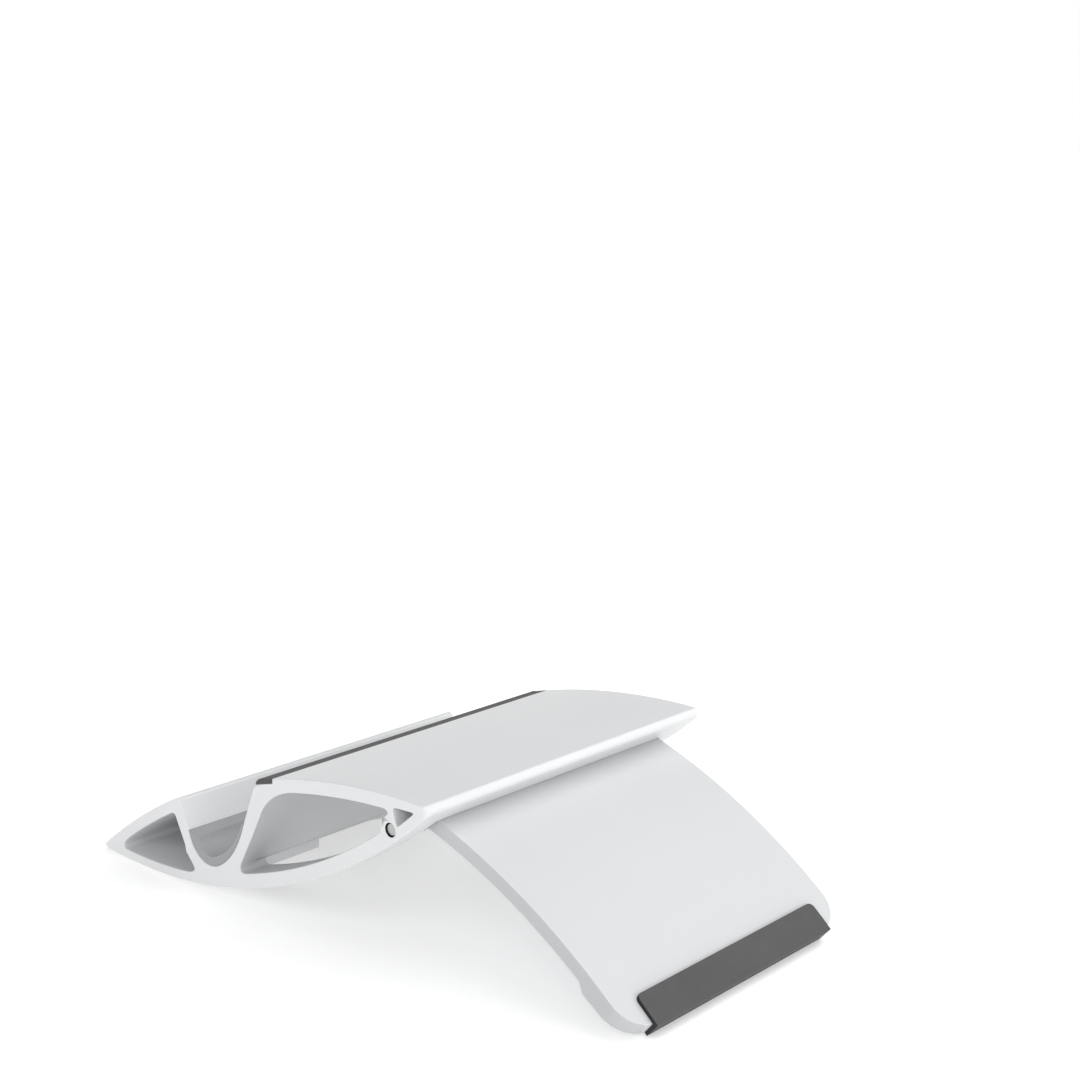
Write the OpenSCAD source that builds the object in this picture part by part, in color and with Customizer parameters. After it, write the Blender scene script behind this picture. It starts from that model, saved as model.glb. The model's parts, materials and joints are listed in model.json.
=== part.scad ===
// Folding tablet stand: a lens-shaped aluminium extrusion with a padded trough for the
// tablet's lower edge, and a curved leg that swings down from the tail as the rear foot.
// Frame: +X across the stand, -Y towards the nose, +Y towards the leg's foot, +Z up,
// with the table top at z = 0. Sections are drawn in the YZ plane and extruded along X.

/* [Body] */
// Width of the extrusion across the stand
body_w = 82; // [78:1:88]
// Radius of the curved underside
belly_r = 136; // [135:0.5:137]
// Radius of the curved top
crown_r = 161; // [160:0.5:162]
// Height of the top of the crown
crown_z = 36.15; // [36:0.05:36.3]
// How far the crown's highest line lies behind the belly's lowest line
crown_y = 86; // [85.5:0.1:86.5]
// Wall thickness of the top and of the trough's back wall
wall = 2.9; // [2.6:0.1:3.0]
// Thickness of the lower rib behind the trough
rib = 3.1; // [2.9:0.1:3.3]
// Thickness of the lower rib under the nose
nose_rib = 2.1; // [2:0.1:2.4]

/* [Trough] */
// Thickness of the soft liner at the bottom of the trough
liner_t = 2.1; // [1.6:0.1:2.3]
// Width of the anti-slip strip on the front edge of the crown
strip_w = 5; // [4:0.5:5.5]
// Depth of the rebate that holds the anti-slip strip
strip_t = 1; // [0.8:0.1:1.1]

/* [Leg] */
// Width of the leg
leg_w = 66.6; // [64:0.2:68]
// Thickness of the leg plate
leg_t = 3; // [2.8:0.1:3.1]
// Angle between the folded and the open leg
open_angle = 126.8; // [125:0.1:128]
// Thickness of the foot block at its step
foot_t = 4.3; // [4:0.1:4.4]
// Length of the foot block along the leg
foot_len = 13; // [12:0.5:14]
// Plan radius of the leg's two lower corners
corner_r = 6.5; // [5:0.5:9]

/* [Foot pad] */
// Length of the pad across the leg
pad_w = 55; // [52:0.5:57]
// Width of the pad on the leg's outer face
pad_len = 6.6; // [6:0.1:8]
// Height of the pad above the leg's outer face
pad_t = 0.8; // [0.6:0.1:1]

/* [Finger notch] */
// Width of the notch for pulling the folded leg out
notch_w = 23.6; // [20:0.2:26]
// Length of the notch in front of the folded leg
notch_len = 5.6; // [5:0.2:6]
// Depth of the notch into the underside
notch_t = 2.7; // [2.4:0.1:2.8]

/* [Hinge] */
// Diameter of the steel hinge pin
pin_d = 2.4; // [2.3:0.05:2.5]
// Depth of the pin's centre inside the leg's outer face
pin_in = 2.4; // [2.3:0.05:2.5]
// Distance of the pin behind the belly's lowest line
pin_y = 80.3; // [80:0.1:80.6]
// Side gap between the leg and the body at each end of the knuckle
side_gap = 0.6; // [0.5:0.05:0.8]

/* [Base strip] */
// Length of the anti-slip strip under the nose
base_w = 66; // [50:1:70]
// Width of the anti-slip strip under the nose
base_len = 9; // [6:1:10]
// Thickness of the anti-slip strip under the nose
base_t = 1; // [0.8:0.1:1.2]

/* [Hidden] */
$fn = 64;

// Section frame: u runs backwards from the belly's lowest line, v is the height.
belly_c = [0, belly_r];
crown_c = [crown_y, crown_z - crown_r];

function polar(c, r, a) = c + r * [cos(a), sin(a)];
function arc(c, r, a0, a1, n) = [for (i = [0:n]) polar(c, r, a0 + (a1 - a0) * i / n)];
// Point of the belly circle, sunk by d, at distance u behind the lowest line
function belly(u, d = 0) = [u, belly_r - sqrt((belly_r - d) * (belly_r - d) - u * u)];
// Point of the crown circle, sunk by d, at distance u behind the belly's lowest line
function crown(u, d = 0) =
    [u, crown_c.y + sqrt((crown_r - d) * (crown_r - d) - (u - crown_y) * (u - crown_y))];
function belly_run(u0, u1, d, n) = [for (i = [0:n]) belly(u0 + (u1 - u0) * i / n, d)];
function crown_run(u0, u1, d, n) = [for (i = [0:n]) crown(u0 + (u1 - u0) * i / n, d)];
// Rounded corner at c, from point a to point b
function bend(a, c, b, n = 6) =
    [for (i = [0:n]) let (t = i / n) (1 - t) * (1 - t) * a + 2 * t * (1 - t) * c + t * t * b];
function unit(p) = p / norm(p);
// Rounded corner at c between straight sides towards a and b, starting d away from c
function corner(a, c, b, d, n = 6) = bend(c + d * unit(a - c), c, c + d * unit(b - c), n);
function turn(p, a) = [p.x * cos(a) - p.y * sin(a), p.x * sin(a) + p.y * cos(a)];

// Hinge: the pin lies pin_in inside the belly circle, and the open leg is the folded
// one, whose outer face is part of the belly, turned about the pin by open_angle.
pin_c = belly(pin_y, pin_in);
leg_c = pin_c + turn(belly_c - pin_c, open_angle);
root_a = atan2(pin_c.y - leg_c.y, pin_c.x - leg_c.x);
foot_a = asin(-leg_c.y / (belly_r - leg_t));
fold_a = atan2(pin_c.y - belly_c.y, pin_c.x - belly_c.x);
foot_fold_a = fold_a - (root_a - foot_a);
deg_per_mm = 180 / PI / belly_r;

// Ends of the lens
tail_top = [89.4, 36.12];
tail_low = belly(90.4);
nose_low = belly(-12.6);
nose_top = crown(-13);
nose_tip = [-14.9, 0.95];

// The rear of the open foot, and the shift that centres the outline on the origin
rear_u = leg_c.x + (belly_r + pad_t) * cos(foot_a);
front_u = (nose_top.x + 2 * nose_tip.x + nose_low.x) / 4;
shift = -(rear_u + front_u) / 2;

// Trough: a round bottom between a leaning front lip and the straight back wall
trough_c = [24.4, 13.4];
trough_r = 6.7;
lip_a = 205;
lip_top = crown(14.4);
lip_foot = polar(trough_c, trough_r, lip_a);
back_foot_a = -67;
back_foot = polar(trough_c, trough_r, back_foot_a);
back_knee = [33.2, 10.4];
back_low = [36.4, 19.4];
back_top = [39.6, 27.1];
strip_a = [40.9, 28.9];
strip_back = 45.9;
liner_top = [36.1, 18.6];
liner_end = [35.8, 19.2];
liner_knee = [32.1, 11.5];
liner_lip = lip_foot + 2.4 * unit(lip_top - lip_foot);

// Clearances between the leg and its slot
slot_gap = 0.45;
stop_gap = 0.04;
hub_r = pin_in;
hub_clear = hub_r + 0.4;
slot_w = leg_w + 2 * side_gap;
slot_r = 4;
// the folded pad's end face leans forward with depth, so its deepest corner sets the front
slot_front = polar(belly_c, belly_r - foot_t, foot_fold_a).x - 0.25;
notch_r = 5;
pin_r = pin_d / 2;
pin_len = body_w - 0.8;
bush_r = 1.75;
bush_len = 9;
running_gap = 0.04;
fixed_gap = 0.02;
sink_r = pin_r + 0.2;
sink_len = 2;

module across(w) {
    translate([0, shift, 0]) rotate([90, 0, 90]) linear_extrude(w, center = true) children();
}
module at_pin(x) {
    translate([x, shift + pin_c.x, pin_c.y]) rotate([0, 90, 0]) children();
}

// Skin over the front cavity, and clear radius of the boss round the pin
nose_skin = 2.5;
boss_r = 2.8;
// Corners of the small triangular cavity in the tail
tri_front = [80.9, 33.9];
tri_rear = [86.9, 34.2];
tri_low = [82, 30.1];
// How far cutting shapes reach past the surface they cut
beyond = 6;

// Outer outline of the extrusion, with the trough and the strip's rebate cut into it
module body_outline() {
    polygon(concat(
        belly_run(-12.6, 90.4, 0, 60),
        bend(tail_low + [0.1, 0.4], [90.75, 35.2], tail_top, 5),
        crown_run(88.4, strip_back, 0, 30),
        [crown(strip_back, strip_t), crown(42.6, strip_t)],
        bend(crown(42.0, strip_t), [strip_a.x - 0.5, strip_a.y - 0.3], back_top, 5),
        [back_low],
        bend(liner_top, back_knee, back_foot, 8),
        arc(trough_c, trough_r, back_foot_a - 6, lip_a - 360, 20),
        bend(lip_top + 1.1 * unit(lip_foot - lip_top), lip_top, crown(13.2), 6),
        crown_run(12, -12, 0, 18),
        bend(nose_top, nose_tip, nose_low, 6)));
}
module front_cavity() {
    lip_in = [15.9, 9.2];
    lip_up = crown(12.6, nose_skin);
    polygon(concat(
        bend([16.2, 7.6], [18.7, 5.2], [19, 4.4], 5),
        bend([19, 4.4], belly(18.6, nose_rib), belly(16, nose_rib), 5),
        belly_run(14, -5, nose_rib, 12),
        bend(belly(-6, nose_rib), crown(-7.6, nose_skin), crown(-4.6, nose_skin), 5),
        crown_run(-3, 10, nose_skin, 8),
        bend(crown(11.4, nose_skin), lip_up, lip_up + 1.2 * unit(lip_in - lip_up), 5),
        [lip_in]));
}
module main_cavity() {
    low = [33.6, 7.8];
    polygon(concat(
        bend(belly(36, rib), low, [35.2, 10.6], 6),
        [[38.7, 16.7]],
        bend([41.3, 21.6], [44.4, 28.4], crown(54, wall), 10),
        crown_run(56, 77.6, wall, 14),
        bend(crown(78.2, wall), [79.6, 33.1], polar(pin_c, boss_r + 0.3, 103), 5),
        arc(pin_c, boss_r, 118, 190, 8),
        bend(polar(pin_c, boss_r, 200), belly(76.9, rib), belly(75.6, rib), 4),
        belly_run(74, 38, rib, 22)));
}
module tail_cavity() {
    round_d = 0.9;
    polygon(concat(
        corner(tri_low, tri_front, tri_rear, round_d, 4),
        corner(tri_front, tri_rear, tri_low, round_d, 4),
        corner(tri_rear, tri_low, tri_front, round_d, 4)));
}
// Room for the folded leg, its foot block and the knuckle, with the stop for the open leg
module leg_slot() {
    foot_end = foot_fold_a - 2 * deg_per_mm;
    step_a = foot_fold_a + (foot_len + 1) * deg_per_mm;
    deep = belly_r - leg_t - slot_gap;
    deeper = belly_r - foot_t - slot_gap;
    out = belly_r + beyond;
    polygon(concat(
        arc(belly_c, out, foot_end, fold_a, 20),
        arc(belly_c, deep, fold_a, step_a, 16),
        arc(belly_c, deeper, step_a, step_a - 0.8, 1),
        [polar(belly_c, deep, foot_end)]));
    translate(pin_c) circle(hub_clear);
    polygon(concat(
        [pin_c],
        arc(leg_c, belly_r + stop_gap, root_a, root_a - 7, 10),
        [polar(leg_c, belly_r - 12, root_a - 7)]));
}
// Skin of the underside, t deep, under the front of the folded leg
module notch_section() {
    polygon(concat(
        arc(belly_c, belly_r + beyond, -100, foot_fold_a + 2, 16),
        arc(belly_c, belly_r - notch_t, foot_fold_a + 2, -100, 16)));
}
// Rectangle from the origin along +Y whose two corners at the origin end are round
module rounded_end(w, len, r) {
    difference() {
        translate([-w / 2, 0]) square([w, len]);
        for (s = [-1, 1]) translate([s * (w / 2 - r), r]) difference() {
            translate([s > 0 ? 0 : -r - 1, -r - 1]) square(r + 1);
            circle(r);
        }
    }
}
// Upright prism with that plan, from from_u backwards
module upright(from_u, w, r) {
    translate([0, shift + from_u, -10]) linear_extrude(60) rounded_end(w, 80, r);
}
// Recess for the strip under the nose, wider by grow all round and deeper by up
module base_rebate(grow, up) {
    translate([0, shift, 0])
        translate([-base_w / 2 - grow, -base_len / 2 - grow, -1])
            cube([base_w + 2 * grow, base_len + 2 * grow, 1 + base_t + up]);
}
module body() {
    color("#eeeff0") difference() {
        across(body_w) difference() {
            body_outline();
            front_cavity();
            main_cavity();
            tail_cavity();
        }
        intersection() {
            across(slot_w) leg_slot();
            upright(slot_front, slot_w, slot_r);
        }
        intersection() {
            across(notch_w) notch_section();
            upright(slot_front - notch_len, notch_w, notch_r);
        }
        base_rebate(fixed_gap, fixed_gap);
        at_pin(0) cylinder(r = pin_r + fixed_gap, h = body_w + 2, center = true);
        for (s = [-1, 1])
            at_pin(s * body_w / 2) cylinder(r = sink_r, h = 2 * sink_len, center = true);
    }
}

// Section of the open leg: a curved plate with a knuckle and a thicker foot block
module leg_section() {
    end_a = foot_a + pad_t * deg_per_mm;
    step_a = foot_a + foot_len * deg_per_mm;
    ramp = 1.6 * deg_per_mm;
    step_round = 0.2;
    heel_rise = 0.35;
    heel = 2.4;
    polygon(concat(
        arc(leg_c, belly_r, end_a, root_a, 40),
        arc(leg_c, belly_r - leg_t, root_a, step_a + ramp, 28),
        [polar(leg_c, belly_r - foot_t, step_a - step_round)],
        [polar(leg_c, belly_r - foot_t + heel_rise, step_a - heel)],
        [polar(leg_c, belly_r - leg_t, end_a)]));
    translate(pin_c) circle(hub_r);
}
module leg() {
    foot_end = polar(leg_c, belly_r - leg_t / 2, foot_a + pad_t * deg_per_mm);
    // the plan of the round corners is seen along this line, between foot and leg middle
    plan_tilt = foot_a - 90 + 4;
    pin_clear = 0.2;
    color("#e9eaeb") difference() {
        intersection() {
            across(leg_w) leg_section();
            translate([0, shift + foot_end.x, foot_end.y])
                rotate([plan_tilt, 0, 0]) mirror([0, 1, 0])
                    translate([0, 0, -40]) linear_extrude(80) rounded_end(leg_w, 90, corner_r);
        }
        at_pin(0) cylinder(r = pin_r + pin_clear, h = leg_w + 2, center = true);
        for (s = [-1, 1])
            at_pin(s * leg_w / 2)
                cylinder(r = bush_r + fixed_gap, h = 2 * (bush_len + pin_clear), center = true);
    }
}

module hinge_pin() {
    half = pin_len / 2;
    chamfer = 0.25;
    color("#9a9da0") at_pin(0) rotate_extrude()
        polygon([[0, -half], [pin_r - chamfer, -half], [pin_r, -half + chamfer],
            [pin_r, half - chamfer], [pin_r - chamfer, half], [0, half]]);
}
module hinge_bush(side) {
    color("#d9dadb") at_pin(side * (leg_w - bush_len) / 2) difference() {
        cylinder(r = bush_r, h = bush_len, center = true);
        cylinder(r = pin_r + running_gap, h = bush_len + 2, center = true);
    }
}
module thrust_washer(side) {
    washer_t = side_gap - 0.12;
    color("#b9bcbf") at_pin(side * (leg_w + side_gap) / 2) difference() {
        cylinder(r = hub_r - 0.1, h = washer_t, center = true);
        cylinder(r = pin_r + running_gap, h = washer_t + 2, center = true);
    }
}

// Soft U-shaped liner that the tablet's lower edge stands in
module trough_liner() {
    inner_r = trough_r - liner_t;
    gap = 0.02;
    color("#a9abad") across(body_w) polygon(concat(
        [liner_end],
        bend(liner_top + [-gap, 0], back_knee + [-gap, gap],
            polar(trough_c, trough_r - gap, back_foot_a), 8),
        arc(trough_c, trough_r - gap, back_foot_a - 6, lip_a - 360, 20),
        [liner_lip + [gap, 0], liner_lip + [0.9, 0.2]],
        arc(trough_c, inner_r, lip_a - 366, back_foot_a - 4, 18),
        bend(polar(trough_c, inner_r, back_foot_a + 1), liner_knee, liner_end, 8)));
}
// Rounded strip along the front edge of the crown, which the tablet's back leans on
module top_strip() {
    gap = 0.02;
    color("#4c4e50") across(body_w) polygon(concat(
        crown_run(strip_back - gap, 43, 0, 4),
        bend(crown(42.6), [41.2, 30.2], [40.6, 28.75], 6),
        bend([40.75, 28.6], [41.2, 28.7], crown(42.0, strip_t - gap), 3),
        [crown(42.6, strip_t - gap), crown(strip_back - gap, strip_t - gap)]));
}
// Rubber pad that covers the foot's outer face and wraps round its end
module foot_pad() {
    gap = 0.02;
    top_a = foot_a + pad_len * deg_per_mm;
    end_a = foot_a + (pad_t - gap) * deg_per_mm;
    color("#5a5a5b") across(pad_w) polygon(concat(
        arc(leg_c, belly_r + pad_t, foot_a, top_a, 10),
        arc(leg_c, belly_r + gap, top_a, end_a, 10),
        [polar(leg_c, belly_r - leg_t, end_a), polar(leg_c, belly_r - leg_t, foot_a)]));
}
// Flat anti-slip strip let into the underside of the nose
module base_strip() {
    color("#55575a") translate([-base_w / 2, shift - base_len / 2, 0])
        cube([base_w, base_len, base_t]);
}

body();
leg();
hinge_pin();
hinge_bush(1);  // hinge_bush_left
hinge_bush(-1);  // hinge_bush_right
thrust_washer(1);  // thrust_washer_left
thrust_washer(-1);  // thrust_washer_right
trough_liner();
top_strip();
foot_pad();
base_strip();
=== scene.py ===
"""Looks for a folding tablet stand: white satin extrusion, swing leg, rubber pads and steel pin.

Every piece is a finer version of one CAD node, in the CAD frame: +X across the stand, -Y towards
the nose, +Y towards the leg's foot, +Z up, metres. The stand's section lies in the YZ plane.
"""
import json
import math

import bmesh
import bpy
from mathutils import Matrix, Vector


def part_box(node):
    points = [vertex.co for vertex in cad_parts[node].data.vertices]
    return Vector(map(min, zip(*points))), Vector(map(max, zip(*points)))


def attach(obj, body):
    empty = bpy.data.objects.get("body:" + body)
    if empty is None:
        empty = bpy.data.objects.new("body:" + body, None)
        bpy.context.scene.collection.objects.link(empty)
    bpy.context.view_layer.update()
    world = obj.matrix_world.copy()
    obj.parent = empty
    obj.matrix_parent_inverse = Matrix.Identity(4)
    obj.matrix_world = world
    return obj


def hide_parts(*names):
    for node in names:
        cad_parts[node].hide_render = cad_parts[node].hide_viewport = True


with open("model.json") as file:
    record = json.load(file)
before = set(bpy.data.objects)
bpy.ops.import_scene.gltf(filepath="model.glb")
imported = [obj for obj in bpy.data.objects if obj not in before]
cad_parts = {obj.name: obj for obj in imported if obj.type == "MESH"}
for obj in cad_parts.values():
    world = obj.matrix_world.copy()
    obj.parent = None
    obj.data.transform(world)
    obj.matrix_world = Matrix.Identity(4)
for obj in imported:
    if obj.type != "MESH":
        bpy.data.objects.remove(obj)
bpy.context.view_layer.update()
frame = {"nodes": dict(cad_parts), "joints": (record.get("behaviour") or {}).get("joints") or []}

MM = 0.001
STAND = "stand"
LEG = "swing_leg"

# Meshes
WELD = 0.002 * MM               # CAD points nearer to each other than this are one point
LAST_WELD = 0.001 * MM          # the same, for the finished piece
CUT_SNAP = 0.0001 * MM          # points nearer to a cut than this lie on it
SHARP = math.radians(24)        # edges that turn more than this are real edges, not facets of a curve
CREASE = math.radians(40)       # edges of a finished piece that turn more than this are shaded sharp
FLAT = math.radians(0.25)       # neighbours that turn less than this lie in one flat face
FACE_WEIGHT = 60                # how far large faces outweigh the fillets in the shading
TURNS = 72                      # faces round a turned piece

# Hinge and leg
PIN_C = Vector(frame["joints"][0]["pos_m"])
BORE_R = 1.45 * MM              # everything nearer the hinge line than this is the drilled bore
PIN_GAP = 0.04 * MM             # between the pin and the rings round it
LEG_R = 136 * MM                # radius of the leg's outer face
LEG_AXIS = (-17.28 * MM, -99.034 * MM)    # (y, z) of that face's axis, open, as in part.scad
FOOT_ANGLE = math.radians(48.126)         # where the pad's end lies round that axis
LEG_EDGE = 7 * MM               # how far in the leg's cut edges and round corners reach

# Body
TAIL_CORNER = 1.5 * MM          # radius of the tail's rear corners, seen from above
TAIL_ROWS = 7                   # cuts that let the ends follow that radius
END_ZONE = 1 * MM               # points nearer to an end face than this move with it
REBATE_SIDE = 0.5 * MM          # the base strip's rebate reaches less than this past the strip
REBATE_TOP = 0.2 * MM           # and less than this above it
CAVITY_SPOT = (-2.2 * MM, 31.1 * MM)      # (y, z) of a spot on the main cavity's upper wall
CAVITY_TURN = math.radians(60)  # the cavity walls' rounded corners turn less than this per face
LENGTHWISE = 10                 # a lengthwise edge runs more than this many times further in X than in YZ

# Foot pad
PAD_LENGTH = 6.6 * MM           # up the leg's outer face
PAD_DEPTH = 3.0 * MM            # down the leg's end
PAD_THICK = 0.8 * MM
PAD_GAP = 0.02 * MM             # between the pad and the leg
PAD_CORNER = 1.3 * MM           # radius of the two upper corners
PAD_ROW = 0.55 * MM             # distance between the cuts that let the pad follow the leg

# Fillets and chamfers
BODY_FILLET = 0.22 * MM
LEG_FILLET = 0.25 * MM
LINER_FILLET = 0.18 * MM
TOP_STRIP_FILLET = 0.12 * MM
PAD_FILLET = 0.15 * MM
BASE_STRIP_FILLET = 0.15 * MM
BASE_STRIP_CORNER = 0.6 * MM
BUSH_CHAMFER = 0.12 * MM
WASHER_CHAMFER = 0.06 * MM

# Turned face of the pin's ends
GROOVES = 4
GROOVE_DEPTH = 0.02 * MM
PLAIN_RIM = 0.12 * MM           # ring outside the last groove
PIN_ROUND = 0.1 * MM            # the rim's rounding

# Places in a piece's list of materials; place 0 is the piece's main one
BORE_PLACE = 1
CAVITY_PLACE = 2
CUT_PLACE = 1

# How far a face looks sideways: 0 for a lengthwise wall, 1 for an end face
WALL_LOOK = 0.1                 # cavity walls less than this
BORE_LOOK = 0.3                 # the bore's wall less than this
LEG_EDGE_LOOK = 0.3             # the leg's cut edges more than this
PAD_CUT_LOOK = 0.6              # the pad's cut sides more than this

# Room and paper, in metres
HORIZON = (1.0, 1.0, 1.0)       # the room's colour near the horizon, and the backdrop's
ZENITH = (0.26, 0.2613, 0.2639)  # the room's colour overhead
HORIZON_UP_TO = 0.2             # sines of the elevations between which the room dims
ZENITH_FROM = 0.52
PAPER_SIZE = 60.0
PAPER_DROP = 0.02 * MM          # keeps the paper clear of the faces that stand on it
NEAR_GLOW = 0.30                # keeps the paper under the stand pale
FAR_GLOW = 1.0                  # lets the paper run into the backdrop
GLOW_FROM = 0.2                 # distances from the stand between which the glow rises
GLOW_TO = 0.9

# Camera: place and clipping in metres, lens and sensor width in millimetres
CAMERA_PLACE = (0.25885, 0.25612, 0.1542)
CAMERA_LOOK = (-0.723, -0.657, -0.2115)
CAMERA_LENS = 60.27
SENSOR = 36
CLIP_START = 0.01

# Softboxes: name, place, aimed at, size, in metres, and power in watts
SOFTBOXES = [
    ("key", (0.68, 0.5, 0.52), (0, 0.02, 0.02), (0.6, 0.6), 3.1),
    ("top", (-0.15, 0.3, 0.86), (0, 0, 0.02), (0.9, 0.9), 3.7),
    ("rear", (-0.1, 0.9, 0.22), (0, 0.02, 0.03), (0.8, 0.24), 0.85),
    ("far", (-0.58, 0.15, 0.51), (0, 0.02, 0.02), (0.35, 0.35), 1.35),
]


# ---------------------------------------------------------------- mesh helpers

def cad_mesh(node):
    """The CAD node's solid as a clean bmesh: shared corners welded, flat faces in one piece."""
    bm = bmesh.new()
    bm.from_mesh(frame["nodes"][node].data)
    bmesh.ops.remove_doubles(bm, verts=bm.verts, dist=WELD)
    bmesh.ops.dissolve_limit(bm, angle_limit=FLAT, verts=bm.verts, edges=bm.edges, delimit=set())
    bmesh.ops.recalc_face_normals(bm, faces=bm.faces)
    return bm


def run_x(edge):
    """How far an edge runs along the stand's width."""
    return abs(edge.verts[0].co.x - edge.verts[1].co.x)


def run_yz(edge):
    """How far an edge runs in the plane of the section."""
    first, second = (v.co for v in edge.verts)
    return math.hypot(first.y - second.y, first.z - second.z)


def sharp_edges(bm, keep=lambda edge: True):
    return [e for e in bm.edges if len(e.link_faces) == 2 and e.calc_face_angle() > SHARP and keep(e)]


def round_edges(bm, edges, radius, segments=3):
    bmesh.ops.bevel(bm, geom=edges, offset=radius, segments=segments, profile=0.5,
                    affect="EDGES", clamp_overlap=False, offset_type="OFFSET")


def cut_across(bm, places):
    """Cuts the mesh at each place along Y, so that it can be bent there."""
    for place in places:
        geom = bm.verts[:] + bm.edges[:] + bm.faces[:]
        bmesh.ops.bisect_plane(bm, geom=geom, plane_co=(0, place, 0), plane_no=(0, 1, 0), dist=CUT_SNAP)


def new_piece(name, bm, body, slot, materials, *nodes):
    """Links the bmesh as a smooth-shaded piece that rides on a body and stands for CAD nodes.

    No point of it is left outside the first node's box.
    """
    low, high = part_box(nodes[0])
    for v in bm.verts:
        v.co = [min(max(v.co[i], low[i]), high[i]) for i in range(3)]
    bmesh.ops.remove_doubles(bm, verts=bm.verts, dist=LAST_WELD)
    bmesh.ops.recalc_face_normals(bm, faces=bm.faces)
    mesh = bpy.data.meshes.new(name)
    bm.to_mesh(mesh)
    bm.free()
    for face in mesh.polygons:
        face.use_smooth = True
    for material in materials:
        mesh.materials.append(material)
    mesh.set_sharp_from_angle(angle=CREASE)
    piece = bpy.data.objects.new(name, mesh)
    bpy.context.scene.collection.objects.link(piece)
    normals = piece.modifiers.new("weighted_normals", "WEIGHTED_NORMAL")
    normals.keep_sharp = True
    normals.weight = FACE_WEIGHT
    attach(piece, body)
    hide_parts(*nodes)


def lathe(profile, centre_x):
    """A solid of revolution about the hinge line. profile is (place along X, radius) in metres."""
    bm = bmesh.new()
    rings = []
    for along, radius in profile:
        if radius <= 0:
            rings.append([bm.verts.new((centre_x + along, PIN_C.y, PIN_C.z))])
            continue
        ring = []
        for i in range(TURNS):
            angle = 2 * math.pi * i / TURNS
            ring.append(bm.verts.new((centre_x + along, PIN_C.y + radius * math.cos(angle),
                                      PIN_C.z + radius * math.sin(angle))))
        rings.append(ring)
    for low, high in zip(rings[:-1], rings[1:]):
        for i in range(TURNS):
            j = (i + 1) % TURNS
            corners = [low[i % len(low)], low[j % len(low)], high[j % len(high)], high[i % len(high)]]
            bm.faces.new(list(dict.fromkeys(corners)))
    return bm


# ---------------------------------------------------------------- materials

def principled(name):
    material = bpy.data.materials.new(name)
    material.use_nodes = True
    nodes = material.node_tree.nodes
    return material, nodes, material.node_tree.links, nodes["Principled BSDF"]


def noise(nodes, links, coords, scale, detail, rough=0.5):
    tex = nodes.new("ShaderNodeTexNoise")
    tex.inputs["Scale"].default_value = scale
    tex.inputs["Detail"].default_value = detail
    tex.inputs["Roughness"].default_value = rough
    links.new(coords, tex.inputs["Vector"])
    return tex.outputs["Fac"]


def ramp(nodes, links, value, low, high, start=0.3, end=0.7):
    """A colour that goes from low to high while the value goes from start to end."""
    node = nodes.new("ShaderNodeValToRGB")
    node.color_ramp.elements[0].position = start
    node.color_ramp.elements[0].color = (*low, 1)
    node.color_ramp.elements[1].position = end
    node.color_ramp.elements[1].color = (*high, 1)
    links.new(value, node.inputs["Fac"])
    return node.outputs["Color"]


def spread(nodes, links, value, low, high, start=0.0, end=1.0):
    """A number that goes from low to high while the value goes from start to end."""
    node = nodes.new("ShaderNodeMapRange")
    node.inputs["From Min"].default_value = start
    node.inputs["From Max"].default_value = end
    node.inputs["To Min"].default_value = low
    node.inputs["To Max"].default_value = high
    links.new(value, node.inputs["Value"])
    return node.outputs["Result"]


def bump(nodes, links, height, distance, strength, under=None):
    node = nodes.new("ShaderNodeBump")
    node.inputs["Distance"].default_value = distance
    node.inputs["Strength"].default_value = strength
    links.new(height, node.inputs["Height"])
    if under is not None:
        links.new(under, node.inputs["Normal"])
    return node.outputs["Normal"]


def object_coords(nodes, links, stretch=(1, 1, 1)):
    coords = nodes.new("ShaderNodeTexCoord")
    mapping = nodes.new("ShaderNodeMapping")
    mapping.inputs["Scale"].default_value = stretch
    links.new(coords.outputs["Object"], mapping.inputs["Vector"])
    return mapping.outputs["Vector"]


def satin_paint(name, low, high, rough, specular=0.42):
    """Smooth satin powder paint: barely uneven tone, fine orange peel and a soft gloss."""
    material, nodes, links, shader = principled(name)
    coords = object_coords(nodes, links)
    tone = noise(nodes, links, coords, scale=28, detail=2)
    links.new(ramp(nodes, links, tone, low, high), shader.inputs["Base Color"])
    gloss = noise(nodes, links, coords, scale=160, detail=3)
    links.new(spread(nodes, links, gloss, rough - 0.04, rough + 0.04), shader.inputs["Roughness"])
    grain = noise(nodes, links, coords, scale=5200, detail=2, rough=0.6)
    peel = noise(nodes, links, coords, scale=900, detail=2)
    fine = bump(nodes, links, grain, distance=0.012 * MM, strength=0.35)
    both = bump(nodes, links, peel, distance=0.02 * MM, strength=0.22, under=fine)
    links.new(both, shader.inputs["Normal"])
    shader.inputs["IOR"].default_value = 1.47
    shader.inputs["Specular IOR Level"].default_value = specular
    return material


def rubber(name, low, high, rough, grain_scale=3400, grain_height=0.035 * MM):
    """Matt moulded rubber with a fine spark-eroded grain."""
    material, nodes, links, shader = principled(name)
    coords = object_coords(nodes, links)
    tone = noise(nodes, links, coords, scale=90, detail=4, rough=0.6)
    links.new(ramp(nodes, links, tone, low, high), shader.inputs["Base Color"])
    dust = noise(nodes, links, coords, scale=420, detail=3)
    links.new(spread(nodes, links, dust, rough - 0.07, rough + 0.08), shader.inputs["Roughness"])
    grain = noise(nodes, links, coords, grain_scale, detail=2, rough=0.55)
    links.new(bump(nodes, links, grain, grain_height, strength=0.6), shader.inputs["Normal"])
    shader.inputs["IOR"].default_value = 1.5
    shader.inputs["Specular IOR Level"].default_value = 0.35
    return material


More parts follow.
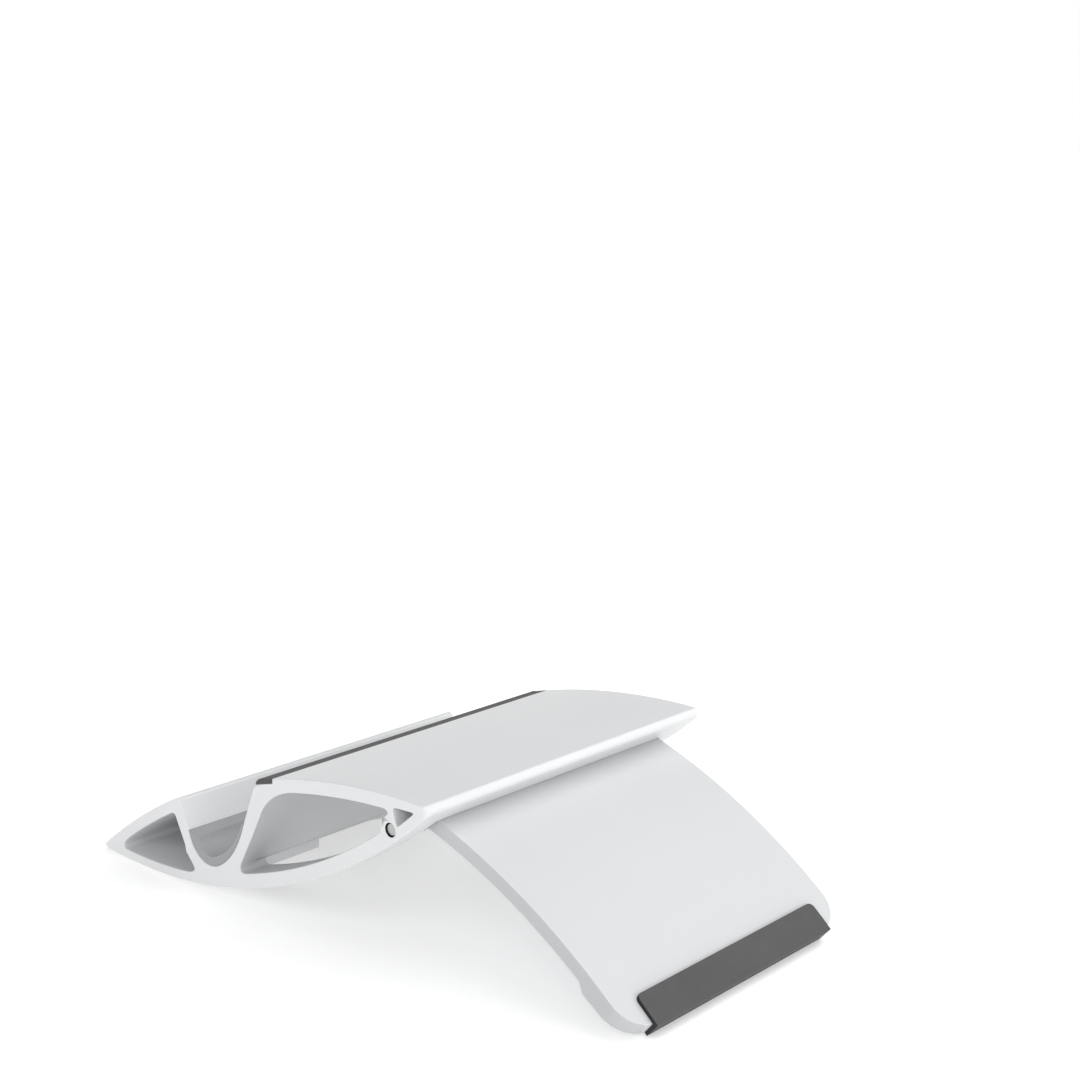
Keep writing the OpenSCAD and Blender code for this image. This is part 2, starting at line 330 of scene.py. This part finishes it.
def turned_steel(name, low, high, rough):
    """Steel turned on a lathe: rings about the hinge line, drawn out by a stretched noise."""
    material, nodes, links, shader = principled(name)
    coords = object_coords(nodes, links, stretch=(1, 0.04, 0.04))
    tone = noise(nodes, links, coords, scale=2600, detail=4, rough=0.6)
    links.new(ramp(nodes, links, tone, low, high), shader.inputs["Base Color"])
    links.new(spread(nodes, links, tone, rough - 0.08, rough + 0.1), shader.inputs["Roughness"])
    links.new(bump(nodes, links, tone, distance=0.01 * MM, strength=0.5), shader.inputs["Normal"])
    shader.inputs["Metallic"].default_value = 1.0
    return material


def moulded_plastic(name, low, high):
    material, nodes, links, shader = principled(name)
    coords = object_coords(nodes, links)
    tone = noise(nodes, links, coords, scale=500, detail=3)
    links.new(ramp(nodes, links, tone, low, high), shader.inputs["Base Color"])
    links.new(spread(nodes, links, tone, 0.42, 0.55), shader.inputs["Roughness"])
    grain = noise(nodes, links, coords, scale=4200, detail=2)
    links.new(bump(nodes, links, grain, distance=0.015 * MM, strength=0.4), shader.inputs["Normal"])
    return material


BODY_PAINT = satin_paint("body_paint", (0.70, 0.705, 0.712), (0.715, 0.72, 0.727), rough=0.36)
# Painted shade: the main cavity's walls get this darker copy of the white paint.
CAVITY_SHADE_PAINT = satin_paint("cavity_shade_paint", (0.54, 0.545, 0.551), (0.56, 0.565, 0.571), rough=0.5,
                          specular=0.3)
# Painted shade: the leg's white paint is darker than the body's, so the leg doesn't come out brighter
# than the body under these softboxes.
LEG_SHADED_PAINT = satin_paint("leg_paint", (0.612, 0.619, 0.629), (0.627, 0.634, 0.644), rough=0.55,
                        specular=0.22)
# Painted shade: the leg's sideways faces get this darker copy of the leg's paint.
LEG_SIDE_SHADE_PAINT = satin_paint("leg_side_shade_paint", (0.47, 0.476, 0.485), (0.49, 0.496, 0.505), rough=0.5)
LINER = rubber("liner_silicone", (0.30, 0.305, 0.31), (0.34, 0.345, 0.35), rough=0.62,
               grain_scale=2600, grain_height=0.02 * MM)
STRIP = rubber("strip_rubber", (0.070, 0.071, 0.073), (0.085, 0.086, 0.088), rough=0.66)
PAD = rubber("pad_rubber", (0.078, 0.078, 0.079), (0.09, 0.09, 0.091), rough=0.76)
PAD_CUT = rubber("pad_cut_rubber", (0.014, 0.014, 0.014), (0.02, 0.02, 0.02), rough=0.6,
                 grain_scale=2400, grain_height=0.02 * MM)
BASE = rubber("base_rubber", (0.085, 0.086, 0.088), (0.10, 0.101, 0.103), rough=0.74)
PIN_STEEL = turned_steel("pin_steel", (0.42, 0.425, 0.43), (0.54, 0.545, 0.55), rough=0.4)
WASHER_STEEL = turned_steel("washer_steel", (0.44, 0.445, 0.45), (0.56, 0.565, 0.57), rough=0.34)
# Painted shade: the bore's wall is near-black metal, standing in for the shadow in the gap round the pin.
BORE_SHADE = turned_steel("bore_shade", (0.05, 0.05, 0.052), (0.08, 0.08, 0.083), rough=0.5)
ACETAL = moulded_plastic("bush_acetal", (0.66, 0.66, 0.65), (0.72, 0.72, 0.71))


# ---------------------------------------------------------------- pieces

def cavity_walls(bm, y, z):
    """The walls of the lengthwise cavity whose nearest wall face lies by (y, z)."""
    def distance(face):
        centre = face.calc_center_median()
        return math.hypot(centre.y - y, centre.z - z)

    nearest = min((f for f in bm.faces if abs(f.normal.x) < WALL_LOOK), key=distance)
    found = {nearest}
    to_search = [nearest]
    while to_search:
        for edge in to_search.pop().edges:
            lengthwise = run_x(edge) > LENGTHWISE * run_yz(edge)
            if not lengthwise or len(edge.link_faces) != 2 or edge.calc_face_angle() > CAVITY_TURN:
                continue
            for face in edge.link_faces:
                if face not in found:
                    found.add(face)
                    to_search.append(face)
    return found


def round_tail(bm):
    """Rounds the two rear corners as seen from above: shifts the ends in along a quarter circle."""
    side = max(v.co.x for v in bm.verts)
    start = max(v.co.y for v in bm.verts) - TAIL_CORNER
    turns = [math.pi / 2 * i / TAIL_ROWS for i in range(TAIL_ROWS)]
    cut_across(bm, [start + TAIL_CORNER * math.sin(turn) for turn in turns])
    for v in bm.verts:
        past = min(max(v.co.y - start, 0), TAIL_CORNER)
        inwards = TAIL_CORNER - math.sqrt(TAIL_CORNER * TAIL_CORNER - past * past)
        if abs(v.co.x) > side - END_ZONE:
            v.co.x -= math.copysign(inwards, v.co.x)


def make_body():
    """The main cavity's walls are painted a darker grey, and the pin's bore near black: painted shade in
    both.
    """
    bm = cad_mesh("body")
    # Painted shade: the main cavity's walls take the darker paint.
    for face in cavity_walls(bm, *CAVITY_SPOT):
        face.material_index = CAVITY_PLACE
    low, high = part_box("base_strip")

    def in_rebate(v):
        return (abs(v.co.x) < high[0] + REBATE_SIDE and v.co.z < high[2] + REBATE_TOP
                and low[1] - REBATE_SIDE < v.co.y < high[1] + REBATE_SIDE)

    def is_rim(edge):
        in_cavity = all(f.material_index == CAVITY_PLACE for f in edge.link_faces)
        return not in_cavity and not all(in_rebate(v) for v in edge.verts)

    round_edges(bm, sharp_edges(bm, is_rim), BODY_FILLET)
    round_tail(bm)
    # Painted shade: the bore's wall round the pin takes the near-black metal.
    for face in bm.faces:
        centre = face.calc_center_median()
        by_hinge = math.hypot(centre.y - PIN_C.y, centre.z - PIN_C.z) < BORE_R
        if by_hinge and abs(face.normal.x) < BORE_LOOK:
            face.material_index = BORE_PLACE
    paints = [BODY_PAINT, BORE_SHADE, CAVITY_SHADE_PAINT]
    new_piece("body_shell", bm, STAND, "body_paint", paints, "body")


def make_leg():
    """The leg is painted a shade darker than the body, and its cut long edges and round corners darker
    still: painted shade.
    """
    bm = cad_mesh("leg")
    round_edges(bm, sharp_edges(bm), LEG_FILLET)
    low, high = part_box("leg")
    # Painted shade: faces near the leg's sides that look sideways take the darker paint.
    for face in bm.faces:
        near_side = abs(face.calc_center_median().x) > high[0] - LEG_EDGE
        if near_side and abs(face.normal.x) > LEG_EDGE_LOOK:
            face.material_index = CUT_PLACE
    new_piece("leg_plate", bm, LEG, "leg_paint", [LEG_SHADED_PAINT, LEG_SIDE_SHADE_PAINT], "leg")


def make_liner():
    bm = cad_mesh("trough_liner")
    round_edges(bm, sharp_edges(bm), LINER_FILLET)
    new_piece("trough_liner_skin", bm, STAND, "liner_rubber", [LINER], "trough_liner")


def make_top_strip():
    bm = cad_mesh("top_strip")
    round_edges(bm, sharp_edges(bm), TOP_STRIP_FILLET)
    new_piece("top_strip_skin", bm, STAND, "strip_rubber", [STRIP], "top_strip")


def bend_to_leg(bm):
    """Bends a flat shape (x across, y up the leg from the foot, z out) to the leg's curve."""
    rows = int(max(v.co.y for v in bm.verts) / PAD_ROW)
    cut_across(bm, [i * PAD_ROW for i in range(1, rows + 1)])
    for v in bm.verts:
        angle = FOOT_ANGLE + v.co.y / LEG_R
        radius = LEG_R + v.co.z
        v.co.y = LEG_AXIS[0] + radius * math.cos(angle)
        v.co.z = LEG_AXIS[1] + radius * math.sin(angle)


def make_foot_pad():
    """Rubber pad with round upper corners, wrapped over the foot's face and down its end.

    Its two cut sides are smoother and blacker than its moulded faces.
    """
    low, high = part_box("foot_pad")
    half = (high[0] - low[0]) / 2
    inside = PAD_THICK - PAD_GAP
    section = [(0, PAD_THICK), (PAD_LENGTH, PAD_THICK), (PAD_LENGTH, PAD_GAP), (inside, PAD_GAP),
               (inside, -PAD_DEPTH), (0, -PAD_DEPTH)]
    bm = bmesh.new()
    ends = [[bm.verts.new((x, along, out)) for along, out in section] for x in (-half, half)]
    bm.faces.new(ends[0])
    bm.faces.new(ends[1][::-1])
    for i in range(len(section)):
        j = (i + 1) % len(section)
        bm.faces.new((ends[0][i], ends[1][i], ends[1][j], ends[0][j]))
    bmesh.ops.recalc_face_normals(bm, faces=bm.faces)

    def at_top(edge):
        return all(v.co.y > PAD_LENGTH - PAD_GAP for v in edge.verts)

    def away_from_leg(edge):
        return not all(v.co.z < 2 * PAD_GAP and v.co.y > PAD_GAP for v in edge.verts)

    round_edges(bm, [e for e in bm.edges if at_top(e) and run_x(e) < PAD_GAP], PAD_CORNER, segments=10)
    round_edges(bm, sharp_edges(bm, away_from_leg), PAD_FILLET)
    bend_to_leg(bm)
    for face in bm.faces:
        if abs(face.normal.x) > PAD_CUT_LOOK:
            face.material_index = CUT_PLACE
    new_piece("foot_pad_skin", bm, LEG, "pad_rubber", [PAD, PAD_CUT], "foot_pad")


def make_base_strip():
    bm = cad_mesh("base_strip")
    low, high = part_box("base_strip")

    def upright(edge):
        return abs(edge.verts[0].co.z - edge.verts[1].co.z) > (high[2] - low[2]) / 2

    round_edges(bm, sharp_edges(bm, upright), BASE_STRIP_CORNER, segments=5)
    round_edges(bm, sharp_edges(bm), BASE_STRIP_FILLET)
    new_piece("base_strip_skin", bm, STAND, "base_rubber", [BASE], "base_strip")


def make_pin():
    """Pin with a rounded rim and fine turning grooves on both end faces."""
    low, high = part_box("hinge_pin")
    half = (high[0] - low[0]) / 2
    radius = (high[1] - low[1]) / 2
    steps = 2 * GROOVES
    face = [(-half, 0)]
    for i in range(1, steps):
        depth = GROOVE_DEPTH if i % 2 else 0
        face.append((-half + depth, (radius - PLAIN_RIM) * i / steps))
    face += [(-half, radius - 0.9 * PIN_ROUND), (-half + 0.3 * PIN_ROUND, radius - 0.3 * PIN_ROUND),
             (-half + PIN_ROUND, radius)]
    bm = lathe(face + [(-x, r) for x, r in reversed(face)], 0)
    new_piece("hinge_pin_turned", bm, STAND, "pin_steel", [PIN_STEEL], "hinge_pin")


def ring_piece(name, node, bore, chamfer, body, slot, material):
    """A bush or washer: a sleeve with chamfered rims round the pin."""
    low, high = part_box(node)
    half = (high[0] - low[0]) / 2
    outer = (high[1] - low[1]) / 2
    profile = [(-half + chamfer, bore), (-half, bore + chamfer), (-half, outer - chamfer),
               (-half + chamfer, outer), (half - chamfer, outer), (half, outer - chamfer),
               (half, bore + chamfer), (half - chamfer, bore), (-half + chamfer, bore)]
    bm = lathe(profile, (low[0] + high[0]) / 2)
    new_piece(name, bm, body, slot, [material], node)


def make_hinge():
    low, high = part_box("hinge_pin")
    bore = (high[1] - low[1]) / 2 + PIN_GAP
    make_pin()
    for side in ("left", "right"):
        ring_piece("hinge_bush_sleeve_" + side, "hinge_bush_" + side, bore, BUSH_CHAMFER, LEG,
                   "bush_plastic", ACETAL)
        ring_piece("thrust_washer_ring_" + side, "thrust_washer_" + side, bore, WASHER_CHAMFER, STAND,
                   "washer_steel", WASHER_STEEL)


# ---------------------------------------------------------------- stage, light, camera

def make_floor():
    """White paper that glows a little by itself, and more so away from the stand."""
    material, nodes, links, shader = principled("floor_paper")
    coords = object_coords(nodes, links)
    tone = noise(nodes, links, coords, scale=6, detail=2)
    links.new(ramp(nodes, links, tone, (0.90, 0.90, 0.90), (0.91, 0.91, 0.91)),
              shader.inputs["Base Color"])
    shader.inputs["Roughness"].default_value = 0.9
    shader.inputs["Specular IOR Level"].default_value = 0.1
    shader.inputs["Emission Color"].default_value = (1, 1, 1, 1)
    away = nodes.new("ShaderNodeVectorMath")
    away.operation = "LENGTH"
    links.new(coords, away.inputs[0])
    glow = spread(nodes, links, away.outputs["Value"], NEAR_GLOW, FAR_GLOW, GLOW_FROM, GLOW_TO)
    links.new(glow, shader.inputs["Emission Strength"])
    bpy.ops.mesh.primitive_plane_add(size=PAPER_SIZE, location=(0, 0, -PAPER_DROP))
    floor = bpy.context.object
    floor.name = "floor"
    floor.data.materials.append(material)


def make_world():
    """Soft white room: bright near the horizon, calmer overhead."""
    world = bpy.data.worlds.new("studio")
    bpy.context.scene.world = world
    world.use_nodes = True
    nodes, links = world.node_tree.nodes, world.node_tree.links
    sky = nodes["Background"]
    coords = nodes.new("ShaderNodeTexCoord")
    split = nodes.new("ShaderNodeSeparateXYZ")
    links.new(coords.outputs["Generated"], split.inputs["Vector"])
    colour = ramp(nodes, links, split.outputs["Z"], HORIZON, ZENITH, HORIZON_UP_TO, ZENITH_FROM)
    links.new(colour, sky.inputs["Color"])
    sky.inputs["Strength"].default_value = 1.0


def aim(thing, place, look):
    """Puts a light or camera in the scene at a place, looking in a direction."""
    thing.location = place
    thing.rotation_euler = look.to_track_quat("-Z", "Y").to_euler()
    bpy.context.scene.collection.objects.link(thing)


def softbox(name, place, target, size, power):
    data = bpy.data.lights.new(name, "AREA")
    data.shape = "RECTANGLE"
    data.size, data.size_y = size
    data.energy = power
    aim(bpy.data.objects.new(name, data), place, Vector(target) - Vector(place))


def make_camera():
    data = bpy.data.cameras.new("camera")
    data.sensor_width = SENSOR
    data.lens = CAMERA_LENS
    data.clip_start = CLIP_START
    camera = bpy.data.objects.new("camera", data)
    aim(camera, CAMERA_PLACE, Vector(CAMERA_LOOK))
    bpy.context.scene.camera = camera


make_body()
make_leg()
make_liner()
make_top_strip()
make_foot_pad()
make_base_strip()
make_hinge()
make_floor()
make_world()
for box in SOFTBOXES:
    softbox(*box)
make_camera()
bpy.context.scene.view_settings.view_transform = "Standard"
